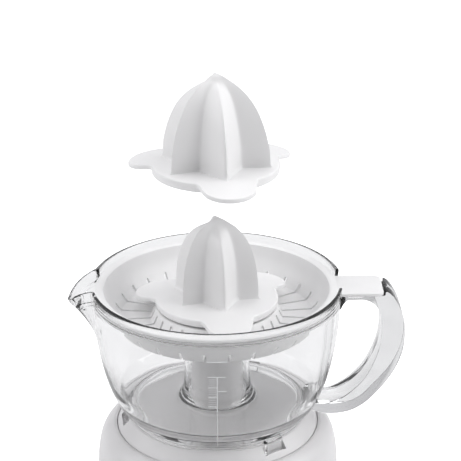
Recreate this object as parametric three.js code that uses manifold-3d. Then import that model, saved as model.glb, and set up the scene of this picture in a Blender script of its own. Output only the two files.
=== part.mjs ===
// Citrus press juicer: motor base, clear jug with spout and handle, strainer, small cone and large cone.
// Millimetres, +Z up. The origin is on the motor axis, in the plane that the rubber feet stand on.
// -X is the spout, +X the handle, -Y the front with the measuring scale, +Y the rear with the cord inlet.
import * as THREE from "three";
import { mergeVertices } from "three/addons/utils/BufferGeometryUtils.js";
import Module from "manifold-3d";

// ---------------------------------------------------------------- driving dimensions
const RIM = 190; // height of the jug's rim over the table
const DECK = 93.3; // flat top of the motor base
const SEAM = 84.6; // seam between deck and housing
const TOWER_TOP = 160; // top of the hollow post that guides the spindle
const SLOTS = 28; // slots in the strainer
const CONE_TURN = -79; // azimuth of the lobe that points to the front, degrees
const MODULE = 1; // gear module
const TEETH = { pinion: 10, idlerBig: 40, idlerSmall: 12, output: 56 };
const IDLER = [0, (MODULE * (TEETH.idlerSmall + TEETH.output)) / 2]; // idler axis
const MOTOR_ANGLE = 200; // direction from the idler axis to the motor axis, degrees
const MOTOR = [
  IDLER[0] +
    ((MODULE * (TEETH.pinion + TEETH.idlerBig)) / 2) *
      Math.cos((MOTOR_ANGLE * Math.PI) / 180),
  IDLER[1] +
    ((MODULE * (TEETH.pinion + TEETH.idlerBig)) / 2) *
      Math.sin((MOTOR_ANGLE * Math.PI) / 180),
];
const CONES = {
  // heights over the rim; ridge and valley are radii of the ribs at the foot
  small: { base: -9.8, height: 55.7, ridge: 30.8, valley: 17.4, disc: 41.5, lobe: 57.8, wide: 0.96, fall: 0.2, skirt: 4.8 },
  large: { base: 84.4, height: 60, ridge: 38.8, valley: 21, disc: 42.2, lobe: 60, wide: 1.07, fall: 0.2, skirt: 6 },
};
const FLANGE = 2.8; // thickness of a cone's flange
const LUGS = [187, 306, 67]; // azimuths of the jug's locating lugs, degrees

const wasm = await Module();
wasm.setup();

// ---------------------------------------------------------------- helpers
const rad = (d) => (d * Math.PI) / 180;

function solid(geometry, matrix) {
  const g = geometry.index ? geometry.toNonIndexed() : geometry.clone();
  for (const name of Object.keys(g.attributes))
    if (name !== "position") g.deleteAttribute(name);
  if (matrix) g.applyMatrix4(matrix);
  const m = mergeVertices(g, 1e-4);
  const p = m.attributes.position.array;
  const tris = [];
  let volume = 0;
  for (let i = 0; i < m.index.count; i += 3) {
    const [a, b, c] = [m.index.array[i], m.index.array[i + 1], m.index.array[i + 2]];
    if (a === b || b === c || a === c) continue;
    tris.push(a, b, c);
    volume +=
      p[3 * a] * (p[3 * b + 1] * p[3 * c + 2] - p[3 * b + 2] * p[3 * c + 1]) -
      p[3 * a + 1] * (p[3 * b] * p[3 * c + 2] - p[3 * b + 2] * p[3 * c]) +
      p[3 * a + 2] * (p[3 * b] * p[3 * c + 1] - p[3 * b + 1] * p[3 * c]);
  }
  if (volume < 0)
    for (let i = 0; i < tris.length; i += 3)
      [tris[i + 1], tris[i + 2]] = [tris[i + 2], tris[i + 1]];
  return new wasm.Manifold(
    new wasm.Mesh({ numProp: 3, vertProperties: p, triVerts: new Uint32Array(tris) }),
  );
}

function geometryOf(manifold) {
  const m = manifold.getMesh();
  const v = new Float32Array(m.numVert * 3);
  for (let i = 0; i < m.numVert; i++)
    v.set(m.vertProperties.subarray(i * m.numProp, i * m.numProp + 3), i * 3);
  return new THREE.BufferGeometry()
    .setAttribute("position", new THREE.BufferAttribute(v, 3))
    .setIndex(new THREE.BufferAttribute(m.triVerts, 1));
}

const at = (x, y, z, turn = 0) =>
  new THREE.Matrix4().makeTranslation(x, y, z).multiply(new THREE.Matrix4().makeRotationZ(rad(turn)));
const about = (turn) => new THREE.Matrix4().makeRotationZ(rad(turn));
const both = (...solids) => solids.reduce((a, b) => a.add(b));
const less = (first, ...cuts) => cuts.reduce((a, b) => a.subtract(b), first);

// a closed profile [[r, z], ...] turned about Z; bend moves each vertex [azimuth, r, z] -> [azimuth, r, z]
function turned(profile, segments, bend, matrix) {
  const pts = profile.map(([r, z]) => new THREE.Vector2(r, z));
  if (profile[0][0] !== 0 || profile.at(-1)[0] !== 0) pts.push(pts[0].clone());
  const g = new THREE.LatheGeometry(pts, segments);
  g.rotateX(Math.PI / 2);
  g.rotateZ(-Math.PI / 2);
  if (bend) {
    const p = g.attributes.position;
    for (let i = 0; i < p.count; i++) {
      const x = p.getX(i), y = p.getY(i);
      const [a, r, z] = bend((Math.atan2(y, x) * 180) / Math.PI, Math.hypot(x, y), p.getZ(i));
      p.setXYZ(i, r * Math.cos(rad(a)), r * Math.sin(rad(a)), z);
    }
  }
  return solid(g, matrix);
}

// cylinder from z0 to z1 on the axis (x, y)
function rod(x, y, r, z0, z1, sides = 16, r1 = r) {
  const g = new THREE.CylinderGeometry(r1, r, z1 - z0, sides);
  g.rotateX(Math.PI / 2);
  return solid(g, at(x, y, (z0 + z1) / 2));
}

function block(x0, x1, y0, y1, z0, z1, matrix) {
  const g = new THREE.BoxGeometry(x1 - x0, y1 - y0, z1 - z0);
  g.translate((x0 + x1) / 2, (y0 + y1) / 2, (z0 + z1) / 2);
  return solid(g, matrix);
}

function plate(points, z0, z1) {
  const shape = new THREE.Shape(points.map(([x, y]) => new THREE.Vector2(x, y)));
  return solid(
    new THREE.ExtrudeGeometry(shape, { depth: z1 - z0, bevelEnabled: false }),
    at(0, 0, z0),
  );
}

// the outline that wraps round a set of circles [x, y, r]
function wrapped(circles, sides = 40) {
  const pts = circles
    .flatMap(([x, y, r]) =>
      Array.from({ length: sides }, (_, i) => [
        x + r * Math.cos((2 * Math.PI * i) / sides),
        y + r * Math.sin((2 * Math.PI * i) / sides),
      ]),
    )
    .sort((a, b) => a[0] - b[0] || a[1] - b[1]);
  const turn = (o, a, b) => (a[0] - o[0]) * (b[1] - o[1]) - (a[1] - o[1]) * (b[0] - o[0]);
  const half = (list) => {
    const h = [];
    for (const p of list) {
      while (h.length > 1 && turn(h.at(-2), h.at(-1), p) <= 1e-6) h.pop();
      h.push(p);
    }
    h.pop();
    return h;
  };
  return [...half(pts), ...half([...pts].reverse())];
}

// spur gear blank with straight-sided teeth, phase in degrees
function gear(teeth, phase, x, y, z0, z1) {
  const r = (MODULE * teeth) / 2, pitch = 360 / teeth;
  const tip = r + 0.9 * MODULE, root = r - 1.15 * MODULE;
  const half = pitch * 0.225; // half tooth at the pitch circle
  const lean = (((tip - root) / 2) * Math.tan(rad(21)) * 180) / Math.PI / r;
  const pts = [];
  for (let i = 0; i < teeth; i++)
    for (const [d, q] of [
      [-half - lean, root],
      [-half + lean, tip],
      [half - lean, tip],
      [half + lean, root],
    ]) {
      const a = rad(phase + i * pitch + d);
      pts.push([x + q * Math.cos(a), y + q * Math.sin(a)]);
    }
  return plate(pts, z0, z1);
}

// screw whose head is at the bottom
const screw = (x, y, z0, z1, head = 3.4, shank = 1.3) =>
  both(rod(x, y, head, z0, z0 + 2.2, 12), rod(x, y, shank, z0 + 1.5, z1, 6));

function curve(table, x) {
  if (x <= table[0][0]) return table[0][1];
  for (let i = 1; i < table.length; i++)
    if (x <= table[i][0]) {
      const [x0, y0] = table[i - 1], [x1, y1] = table[i];
      return y0 + ((y1 - y0) * (x - x0)) / (x1 - x0);
    }
  return table.at(-1)[1];
}

// ---------------------------------------------------------------- materials
const material = (name, color, roughness, metalness = 0, more = {}) =>
  new THREE.MeshStandardMaterial({ name, color, roughness, metalness, ...more });
const white = material("white_plastic", 0xf1f1f4, 0.28);
const housingWhite = material("housing_plastic", 0xe9e9ee, 0.24);
const clear = material("clear_plastic", 0xf4f6f8, 0.05, 0, { transparent: true, opacity: 0.3 });
const rubber = material("foot_rubber", 0x2b2b2d, 0.85);
const steel = material("steel", 0xb9bcc0, 0.32, 1);
const zinc = material("zinc_screw", 0xc7c8c6, 0.4, 1);
const bronze = material("bronze_bush", 0xb08a4a, 0.5, 1);
const acetal = material("gear_acetal", 0xe4e1d6, 0.45);
const grey = material("grey_plastic", 0x9a9ca0, 0.5);
const copper = material("copper_winding", 0xa8562a, 0.45, 0.8);
const black = material("black_plastic", 0x1d1d1f, 0.5);
const capBlue = material("capacitor_film", 0xc9a43a, 0.45);

const group = new THREE.Group();
const sets = {};
function put(set, name, finish, manifold) {
  const mesh = new THREE.Mesh(geometryOf(manifold), finish);
  mesh.name = name;
  if (!sets[set]) {
    sets[set] = new THREE.Group();
    group.add(sets[set]);
  }
  sets[set].add(mesh);
}

// ---------------------------------------------------------------- motor base: housing, deck, plate
const POSTS = [0, 90, 180, 270].map((a) => [68 * Math.cos(rad(a + 20)), 68 * Math.sin(rad(a + 20)), a + 20]);
const HANG = [30, 150, 270].map((a) => [57 * Math.cos(rad(a)), 57 * Math.sin(rad(a)), a]);
const FEET = [0, 90, 180, 270].map((a) => [64 * Math.cos(rad(a - 25)), 64 * Math.sin(rad(a - 25))]);

let housing = turned(
  [
    [69.9, SEAM], [71.6, SEAM], [76.2, 82], [80.4, 76], [82.8, 67], [84, 49], [83.4, 22], [81.4, 2.1],
    [78.9, 2.1], [80.9, 22], [81.5, 49], [80.3, 66], [77.6, 75.4], [73, 80], [66.4, 80], [66.4, 81.8], [69.9, 81.8],
  ],
  36,
);
for (const [x, y, a] of POSTS)
  housing = both(
    housing,
    rod(x, y, 4.5, 8.1, 80.6, 10),
    block(71, 80.9, -1, 1, 12, 64, about(a)),
  );
housing = less(
  housing,
  ...POSTS.map(([x, y]) => rod(x, y, 1.65, 6, 22, 6)),
  solid(new THREE.CylinderGeometry(5.7, 5.7, 12, 20), at(0, 81.5, 17)),
);
put("base", "base_housing", housingWhite, housing);

let deck = turned(
  [
    [69.5, SEAM], [61.2, DECK], [18.6, DECK], [18, 96], [16.8, 157.5], [15.4, TOWER_TOP], [8.6, TOWER_TOP],
    [8.6, 155], [13.4, 155], [15.2, 90.3], [57.8, 90.3], [59.4, 83.6], [66.2, 82.2], [69.5, 82.2],
  ],
  36,
);
for (const a of LUGS) deck = deck.subtract(block(61.8, 66.2, -8.6, 8.6, 85.6, 98, about(a)));
for (const [x, y] of HANG) deck = deck.add(rod(x, y, 4.6, 73.3, 91, 10));
deck = less(deck, ...HANG.map(([x, y]) => rod(x, y, 1.65, 72, 86.5, 6)));
put("base", "top_deck", housingWhite, deck);

let basePlate = rod(0, 0, 77.8, 1.8, 4.8, 36);
for (const [x, y] of POSTS) basePlate = basePlate.add(rod(x, y, 6, 4.5, 7.8, 10));
basePlate = both(
  basePlate,
  block(-7, 15, -5.4, -3.5, 4.5, 27), // side walls and floor of the switch clip
  block(-7, 15, 3.5, 5.4, 4.5, 27),
  block(-7, 15, -4, 4, 4.5, 19.7),
  block(28, 52, -33.4, -31.5, 4.5, 12), // capacitor cradle
  block(28, 52, -20.5, -18.6, 4.5, 12),
);
for (const [x, y] of POSTS)
  basePlate = less(basePlate, rod(x, y, 4.1, 1, 5.2, 10), rod(x, y, 1.9, 4, 9, 6));
for (const [x, y] of FEET) basePlate = basePlate.subtract(rod(x, y, 8.4, 1, 3.6, 16));
put("base", "base_plate", housingWhite, basePlate);

FEET.forEach(([x, y], i) =>
  put("base", "rubber_foot_" + (i + 1), rubber, both(rod(x, y, 7.4, 0, 0.8, 16, 8), rod(x, y, 8, 0.8, 3.3, 16))),
);
POSTS.forEach(([x, y], i) => put("base", "base_screw_" + (i + 1), zinc, screw(x, y, 2.4, 18)));

put(
  "base",
  "cord_gland",
  black,
  turned(
    [[3.5, 76.8], [7.4, 76.8], [7.4, 79.2], [5.3, 79.2], [5.3, 84.5], [7.6, 84.5], [7.2, 86.6], [3.5, 86.6]],
    16,
    null,
    at(0, 0, 17).multiply(new THREE.Matrix4().makeRotationX(-Math.PI / 2)),
  ),
);

// ---------------------------------------------------------------- gearbox
const OUTLINE = [
  [0, 0, 33.4],
  [IDLER[0], IDLER[1], 25.4],
  [MOTOR[0], MOTOR[1], 20],
];
const GB_SCREWS = [
  [35.6, -9],
  [18.5, 55.4],
  [MOTOR[0] - 17, MOTOR[1] + 15.5],
];
let upper = plate(wrapped(OUTLINE, 20), 48.3, 73).subtract(
  plate(wrapped(OUTLINE.map(([x, y, r]) => [x, y, r - 2]), 20), 40, 70.4),
);
for (const [x, y] of GB_SCREWS) upper = upper.add(rod(x, y, 4, 48.3, 70.4, 10));
for (const [x, y, a] of HANG)
  upper = both(upper, block(20, 57, -4.5, 4.5, 70.4, 73, about(a)), rod(x, y, 5.4, 70.4, 73, 10));
upper = less(
  upper,
  rod(0, 0, 5.5, 60, 80, 20),
  rod(IDLER[0], IDLER[1], 2.3, 60, 80, 12),
  ...GB_SCREWS.map(([x, y]) => rod(x, y, 1.65, 40, 60, 6)),
  ...HANG.map(([x, y]) => rod(x, y, 1.9, 60, 80, 6)),
);
put("base", "gearbox_case", grey, upper);

const MOTOR_SCREWS = [1, -1].map((s) => [
  MOTOR[0] + s * 13 * Math.cos(rad(MOTOR_ANGLE + 90)),
  MOTOR[1] + s * 13 * Math.sin(rad(MOTOR_ANGLE + 90)),
]);
let lower = plate(wrapped(OUTLINE, 20), 45.4, 48);
for (const [x, y] of GB_SCREWS) lower = lower.add(rod(x, y, 4, 45.4, 48, 10));
lower = less(
  lower,
  rod(0, 0, 6.3, 40, 60, 20),
  rod(IDLER[0], IDLER[1], 2.3, 40, 60, 12),
  rod(MOTOR[0], MOTOR[1], 6.5, 40, 60, 20),
  ...GB_SCREWS.map(([x, y]) => rod(x, y, 1.9, 40, 60, 6)),
  ...MOTOR_SCREWS.map(([x, y]) => rod(x, y, 1.6, 40, 60, 6)),
);
put("base", "gearbox_cover", grey, lower);
GB_SCREWS.forEach(([x, y], i) => put("base", "gearbox_screw_" + (i + 1), zinc, screw(x, y, 42.9, 57, 3.2)));
HANG.forEach(([x, y], i) => put("base", "drive_unit_screw_" + (i + 1), zinc, screw(x, y, 67.9, 84, 3.4)));

const bush = (name, r, flange, bore, z0, z1, ledge0, ledge1) =>
  put(
    "base",
    name,
    bronze,
    both(rod(0, 0, r, z0, z1, 24), rod(0, 0, flange, ledge0, ledge1, 24)).subtract(rod(0, 0, bore, z0 - 5, z1 + 5, 24)),
  );
bush("lower_bush", 6, 8, 4.35, 43.4, 50, 48.3, 50);
bush("tower_bush", 8.2, 10.4, 4.35, 155.6, 161.6, 160.3, 161.6);
put("base", "idler_pin", steel, rod(IDLER[0], IDLER[1], 2, 45.6, 72.8, 12));

// ---------------------------------------------------------------- motor
const [MX, MY] = MOTOR;
put(
  "base",
  "motor_can",
  steel,
  less(
    rod(MX, MY, 19, 12, 45.1, 32),
    rod(MX, MY, 17.5, 13.5, 43.4, 32),
    rod(MX, MY, 3.4, 40, 50, 16),
    ...MOTOR_SCREWS.map(([x, y]) => rod(x, y, 1.5, 40, 50, 6)),
  ),
);
put("base", "stator_coil", copper, less(rod(MX, MY, 17.1, 17, 39, 28), rod(MX, MY, 13.6, 10, 50, 28)));
MOTOR_SCREWS.forEach(([x, y], i) =>
  put(
    "base",
    "motor_screw_" + (i + 1),
    zinc,
    both(rod(x, y, 2.7, 48.3, 50, 12), rod(x, y, 1.2, 41, 49, 6)),
  ),
);
put("motor", "motor_rotor", steel, both(rod(MX, MY, 1.5, 15, 57.4, 12), rod(MX, MY, 12.8, 19, 37, 24)));
// the tooth phases put a tooth of one gear in the middle of a gap of its partner
const toMotor = MOTOR_ANGLE, toIdler = 90;
put(
  "motor",
  "motor_pinion",
  acetal,
  gear(TEETH.pinion, toMotor + 180 + 180 / TEETH.pinion, MX, MY, 50.4, 57.2).subtract(rod(MX, MY, 1.8, 40, 60, 12)),
);
put(
  "idler",
  "idler_gear",
  acetal,
  both(
    gear(TEETH.idlerBig, toMotor, IDLER[0], IDLER[1], 50.8, 56.6),
    gear(TEETH.idlerSmall, toIdler + 180 + 180 / TEETH.idlerSmall, IDLER[0], IDLER[1], 56.2, 66.8),
    rod(IDLER[0], IDLER[1], 4.2, 48.6, 69.8, 16),
  ).subtract(rod(IDLER[0], IDLER[1], 2.3, 40, 80, 12)),
);
put(
  "output",
  "output_gear",
  acetal,
  less(
    both(gear(TEETH.output, toIdler, 0, 0, 58.2, 65.6), rod(0, 0, 9, 51, 70, 24)),
    turned([[11, 61], [24, 61], [24, 80], [11, 80]], 16),
    rod(0, 0, 5.1, 40, 90, 6),
  ),
);

// ---------------------------------------------------------------- spindle, spring, switch
put(
  "spindle",
  "drive_spindle",
  steel,
  both(rod(0, 0, 4, 36, 184, 20), rod(0, 0, 4.7, 53.2, 71.5, 6), rod(0, 0, 8, 84, 86, 20)),
);
put("spindle", "drive_head", white, rod(0, 0, 8, 164.8, 186, 6).subtract(rod(0, 0, 4.3, 150, 184.3, 20)));

class Helix extends THREE.Curve {
  getPoint(t, target = new THREE.Vector3()) {
    const turns = 4.5, a = 2 * Math.PI * turns * t;
    return target.set(6.6 * Math.cos(a), 6.6 * Math.sin(a), 74 + 9 * t);
  }
}
{
  const section = new THREE.Shape(
    Array.from({ length: 5 }, (_, i) => new THREE.Vector2(0.6 * Math.cos((i * Math.PI) / 2.5), 0.6 * Math.sin((i * Math.PI) / 2.5))),
  );
  put("spindle", "return_spring", steel, solid(new THREE.ExtrudeGeometry(section, { steps: 36, extrudePath: new Helix() })));
}
put(
  "base",
  "micro_switch",
  black,
  less(block(-6.5, 14.5, -3.2, 3.2, 20, 31), rod(0, 0, 2, 25, 40, 14)),
);
put("switch", "switch_plunger", white, rod(0, 0, 1.6, 28.4, 35.7, 14));
put("base", "run_capacitor", capBlue, block(29, 51, -31.2, -20.8, 5.1, 22));

// ---------------------------------------------------------------- jug
const z = (h) => RIM + h; // heights below are taken from the rim
// half angles of the spout: azimuths near the spout are drawn together, so it gets more facets
const packSpout = (a) => {
  const d = ((((a - 180) % 360) + 540) % 360) - 180;
  const s = Math.abs(d), f = s < 30 ? (s * 14) / 30 : 14 + ((s - 30) * 166) / 150;
  return 180 + Math.sign(d) * f;
};
const SPOUT_R = [[0, 100.5], [5.1, 97.6], [8.1, 92.7], [11.6, 86.8], [12.9, 85.1], [14, 85]];
const SPOUT_Z = [[0, -13.4], [5.1, -9.9], [8.1, -4.9], [11.6, -1], [12.9, 0], [14, 0]];
const KEEL = [[-40, 0], [-36.5, 1.3], [-14.5, 14.6], [-13.4, 15.5], [0, 15.5]];
const spout = (a, r, height) => {
  const b = packSpout(a);
  const d = Math.abs(((((b - 180) % 360) + 540) % 360) - 180);
  const h = height - RIM;
  if (d >= 14 || h < -40 || r < 70) return [b, r, height];
  // the wall follows the keel at the bottom and the lip at the top
  const lipZ = curve(SPOUT_Z, d), drop = -40 + ((h + 40) * (lipZ + 40)) / 40;
  const atLip = curve(SPOUT_R, d) - 85;
  const share = curve(KEEL, Math.min(drop, -13.4)) / 15.5;
  const width = 1 - (d / 14) * (1 - share) * 1.2;
  const bulge = Math.max(0, atLip * (h > -12 ? Math.max(share, 1 + h / 12) : share) * Math.max(0, width));
  return [b, r + bulge, RIM + drop];
};
let bowl = turned(
  [
    [85, z(0)], [84.2, z(-8)], [83.4, z(-20)], [82.3, z(-34)], [80, z(-50)], [76.8, z(-65)],
    [71.6, z(-80)], [66.4, z(-89)], [61.2, z(-94.5)], [61, z(-96.4)], [58, z(-96.4)], [57.4, z(-90)],
    [20.4, z(-88.4)], [19, z(-24.3)], [20.9, z(-24)], [22.7, z(-78)], [27, z(-86)],
    [61, z(-87.4)], [69, z(-79.5)], [74.5, z(-64)], [77.8, z(-49.5)],
    [80.1, z(-33)], [81.6, z(-11)], [79.6, z(-9.4)], [79.6, z(-7.2)], [82.4, z(-7.2)], [82.8, z(0)],
  ],
  48,
  spout,
);
const WINDOW = 15.7; // half width of the notch that the strainer's tab lies in
bowl = bowl.subtract(block(78, 92, -WINDOW, WINDOW, z(-7.2), z(5)));
for (const a of LUGS)
  bowl = both(
    bowl,
    block(59.5, 64.6, -6.6, 6.6, z(-96.1), z(-93.4), about(a)),
    block(62.2, 64.6, -6.6, 6.6, z(-103.6), z(-94), about(a)),
  );
put("jug", "jug_bowl", clear, bowl);

const HANDLE_OUT = [
  [84.6, -7.6], [112.8, -7.6], [112.8, -4.6], [115.6, -5.8], [118.4, -8.6], [120.8, -12.4], [123.6, -18], [125.9, -25],
  [127, -36], [125.8, -49], [121, -62.2], [113.2, -74.8], [103.4, -86.2], [96.5, -91.6], [89.6, -94.8], [79.6, -96.4],
  [71, -95.6], [64.4, -93.6],
];
const HANDLE_IN = [
  [68, -87.6], [71.9, -88.9], [78.8, -87.6], [89, -81.6], [99, -71.5], [105.5, -60], [109.9, -47], [111.4, -34],
  [110.3, -22.4], [105.8, -14.2], [99.9, -10.9], [87.8, -10.9], [85, -13.2], [84.0, -17.6],
];
const HANDLE_HALF = 12.2;
let handle = solid(
  new THREE.ExtrudeGeometry(
    new THREE.Shape([...HANDLE_OUT, ...HANDLE_IN].map(([x, h]) => new THREE.Vector2(x, h))),
    { depth: 2 * HANDLE_HALF, bevelEnabled: false },
  ),
  // shape x, y, depth go to X, Z, -Y
  new THREE.Matrix4().makeTranslation(0, HANDLE_HALF, RIM).multiply(new THREE.Matrix4().makeRotationX(Math.PI / 2)),
);
// its two ends are cut to the jug's outside
handle = handle.subtract(
  turned(
    [
      [0, z(20)], [85.3, z(20)], [85.3, z(0)], [84.5, z(-8)], [83.7, z(-20)], [82.6, z(-34)], [80.3, z(-50)],
      [77.1, z(-65)], [71.95, z(-80)], [66.75, z(-89)], [61.6, z(-94.5)], [61.4, z(-110)], [0, z(-110)],
    ],
    48,
    (a, r, height) => [packSpout(a), r, height],
  ),
);
put("jug", "jug_handle", clear, handle);

// ---------------------------------------------------------------- strainer
let strainer = turned(
  [
    [82.1, z(-4.6)], [82.1, z(-6.9)], [78.4, z(-7.2)], [74.8, z(-15)], [70, z(-23.5)], [66.6, z(-27.8)],
    [43.4, z(-27.8)], [40.6, z(-20.4)], [26.4, z(-19.8)], [26.2, z(-33)], [24.6, z(-33)], [24.4, z(-19.6)],
    [13, z(-19.4)], [12.8, z(-27)], [10.8, z(-27)], [10.8, z(-17.2)], [41.2, z(-18.4)],
    [44.6, z(-25.8)], [65.4, z(-25.8)], [68, z(-22.8)], [72.8, z(-14.4)], [76, z(-5)], [78, z(-4.6)],
  ],
  SLOTS,
);
for (let i = 0; i < SLOTS; i++)
  strainer = strainer.subtract(block(41.2, 76, -1.1, 1.1, z(-31), z(-20.8), about(-90 + ((i + 0.5) * 360) / SLOTS)));
strainer = strainer.add(block(81.4, 111.6, -15.3, 15.3, z(-6.9), z(-4.6)));
put("strainer", "strainer", white, strainer);

put(
  "sleeve",
  "drive_sleeve",
  white,
  less(
    both(rod(0, 0, 10.3, z(-26), z(-16), 24), rod(0, 0, 14, z(-16.8), z(-15), 24), rod(0, 0, 10.4, z(-16), z(-1), 6)),
    rod(0, 0, 8.5, z(-40), z(-3.4), 6),
  ),
);

// ---------------------------------------------------------------- cones
// ridge radius over height, both as shares of the foot's ridge radius and of the cone's height
const RISE = [[0, 1], [0.17, 0.985], [0.33, 0.937], [0.5, 0.852], [0.64, 0.75], [0.75, 0.631], [0.84, 0.491], [0.91, 0.337], [0.965, 0.17], [1, 0]];
const RISE_SMALL = [[0, 1], [0.17, 0.99], [0.33, 0.965], [0.5, 0.91], [0.64, 0.825], [0.75, 0.725], [0.84, 0.595], [0.91, 0.43], [0.965, 0.215], [1, 0]];
const ROWS = [0.25, 0.5, 0.7, 0.84, 0.925];
const SHOULDER = 0.925; // the broad ribs end at this share of the height, the narrow ones form the tip
const VALLEY_AT = 40; // azimuth from a broad rib to the valley next to it; the narrow ribs are at 60
// azimuths from a broad rib to the narrow one, so that a column of vertices lies in each valley
const RIB_COLUMNS = [[0, 0], [7.5, 8], [15, 16], [22.5, 24], [30, 32], [37.5, 40], [45, 46], [52.5, 53], [60, 60]];
CONES.small.rise = RISE_SMALL;
CONES.large.rise = RISE;
function star(c, inset, height, segments, rows, foot) {
  const R = c.ridge - inset * 2.1, V = c.valley - inset * 1.05;
  const H = height - inset * 1.9;
  const profile = [[0, foot], [1, foot]];
  for (const h of rows) profile.push([curve(c.rise, h), c.base + H * h]);
  profile.push([0, c.base + H]);
  return turned(
    profile.map(([q, h]) => [q, z(h)]),
    segments,
    (azimuth, q, height) => {
      if (q < 1e-6) return [azimuth, 0, height];
      const broad = Math.round(azimuth / 120) * 120, off = azimuth - broad;
      const d = curve(RIB_COLUMNS, Math.abs(off));
      const share = Math.max(0, (height - z(c.base)) / H);
      const side = share > 0 ? curve(c.rise, Math.min(1, share / SHOULDER)) : 1;
      const valley = V * (0.25 * side + 0.75 * q);
      const broadRib = Math.max(R * side, 0.8 * valley), narrowRib = R * q;
      // flat flanks between a rib and its valley
      const [r0, d0, r1, d1] = d <= VALLEY_AT ? [broadRib, 0, valley, VALLEY_AT] : [valley, VALLEY_AT, narrowRib, 60];
      const r = (r0 * r1 * Math.sin(rad(d1 - d0))) / (r0 * Math.sin(rad(d - d0)) + r1 * Math.sin(rad(d1 - d)));
      return [broad + Math.sign(off) * d, r, height];
    },
    about(CONE_TURN),
  );
}
const LOBE = [[0, 1], [6, 0.955], [11, 0.835], [15.5, 0.655], [19, 0.42], [22.5, 0.12], [27, 0], [60, 0]];
// azimuths are drawn together at the lobes' flanks
const FLANK = [[0, 0], [7.5, 6], [15, 11], [22.5, 15.5], [30, 19], [37.5, 22.5], [45, 27], [52.5, 43], [60, 60]];
function cone(name, set, c, extra) {
  const outline = (azimuth, q, height) => {
    const lobe = Math.round(azimuth / 120) * 120, off = azimuth - lobe;
    const a = lobe + Math.sign(off) * Math.min(60, curve(FLANK, Math.abs(off)) * (Math.abs(off) < 50 ? c.wide : 1));
    // q counts 0..1 from the axis to the disc's edge; the lobes reach further at every third of a turn
    const d = Math.abs(((((a % 120) + 120) % 120) + 60) % 120 - 60);
    const edge = c.disc + (c.lobe - c.disc) * curve(LOBE, d / c.wide);
    const r = q * edge;
    return [a, r, height - c.fall * Math.max(0, r - c.ridge)];
  };
  const flange = turned(
    [[0, z(c.base)], [0.5, z(c.base)], [0.985, z(c.base)], [1, z(c.base - 0.8)], [1, z(c.base - FLANGE)], [0.5, z(c.base - FLANGE)], [0, z(c.base - FLANGE)]],
    48,
    outline,
    about(CONE_TURN),
  );
  const edgeZ = c.base - c.fall * (c.disc - c.ridge);
  const skirt = turned(
    [[c.disc - 2.4, z(edgeZ - 1.5)], [c.disc - 0.25, z(edgeZ - 1.5)], [c.disc - 0.5, z(edgeZ - c.skirt)], [c.disc - 2.4, z(edgeZ - c.skirt)]],
    24,
  );
  let body = both(
    star(c, 0, c.height, 48, ROWS, c.base - 1),
    flange,
    skirt,
  );
  body = body.subtract(star(c, 2, c.height, 48, [0.33, 0.64, 0.84], c.base - 12));
  if (extra) body = extra(body);
  put(set, name, white, body);
}
// the small cone's inner boss, with the socket for the drive sleeve, runs up into the tip
cone("small_cone", "small", CONES.small, (body) =>
  body
    .add(
      rod(0, 0, 13.2, z(-14.7), z(47), 24).intersect(
        star(CONES.small, 0, CONES.small.height, 48, ROWS, CONES.small.base - 8),
      ),
    )
    .subtract(rod(0, 0, 10.9, z(-30), z(-0.6), 6)),
);
cone("large_cone", "large", CONES.large);

export default group;
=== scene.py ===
import math

import bmesh
import bpy
import numpy as np
from mathutils import Matrix, Vector

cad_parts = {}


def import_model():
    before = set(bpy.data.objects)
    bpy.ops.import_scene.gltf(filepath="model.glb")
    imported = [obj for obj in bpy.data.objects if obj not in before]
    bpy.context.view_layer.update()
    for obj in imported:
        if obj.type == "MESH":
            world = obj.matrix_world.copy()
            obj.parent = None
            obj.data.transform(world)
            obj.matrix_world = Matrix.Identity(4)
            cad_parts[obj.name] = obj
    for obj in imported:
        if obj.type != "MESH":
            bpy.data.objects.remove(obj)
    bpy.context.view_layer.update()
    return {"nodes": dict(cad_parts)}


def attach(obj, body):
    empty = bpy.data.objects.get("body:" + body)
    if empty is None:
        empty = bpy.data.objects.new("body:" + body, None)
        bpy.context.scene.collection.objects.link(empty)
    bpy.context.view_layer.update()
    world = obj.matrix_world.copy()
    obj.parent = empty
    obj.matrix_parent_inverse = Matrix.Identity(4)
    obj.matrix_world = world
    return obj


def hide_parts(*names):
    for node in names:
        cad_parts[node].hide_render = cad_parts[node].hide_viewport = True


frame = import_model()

# ------------------------------------------------------------------ sizes, mm, as in the CAD model
RIM = 190.0
SEAM, DECK, TOWER_TOP = 84.6, 93.3, 160.0
SLOTS = 28
CONE_TURN = -79.0
LUGS = (187.0, 306.0, 67.0)
CONES = {
    "small": dict(base=-9.8, height=55.7, ridge=30.8, valley=17.4, disc=41.5, lobe=57.8, wide=0.96, fall=0.2, skirt=4.8),
    "large": dict(base=84.4, height=60.0, ridge=38.8, valley=21.0, disc=42.2, lobe=60.0, wide=1.07, fall=0.2, skirt=6.0),
}
FLANGE = 2.8
sin = lambda d: math.sin(math.radians(d))
cos = lambda d: math.cos(math.radians(d))


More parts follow.
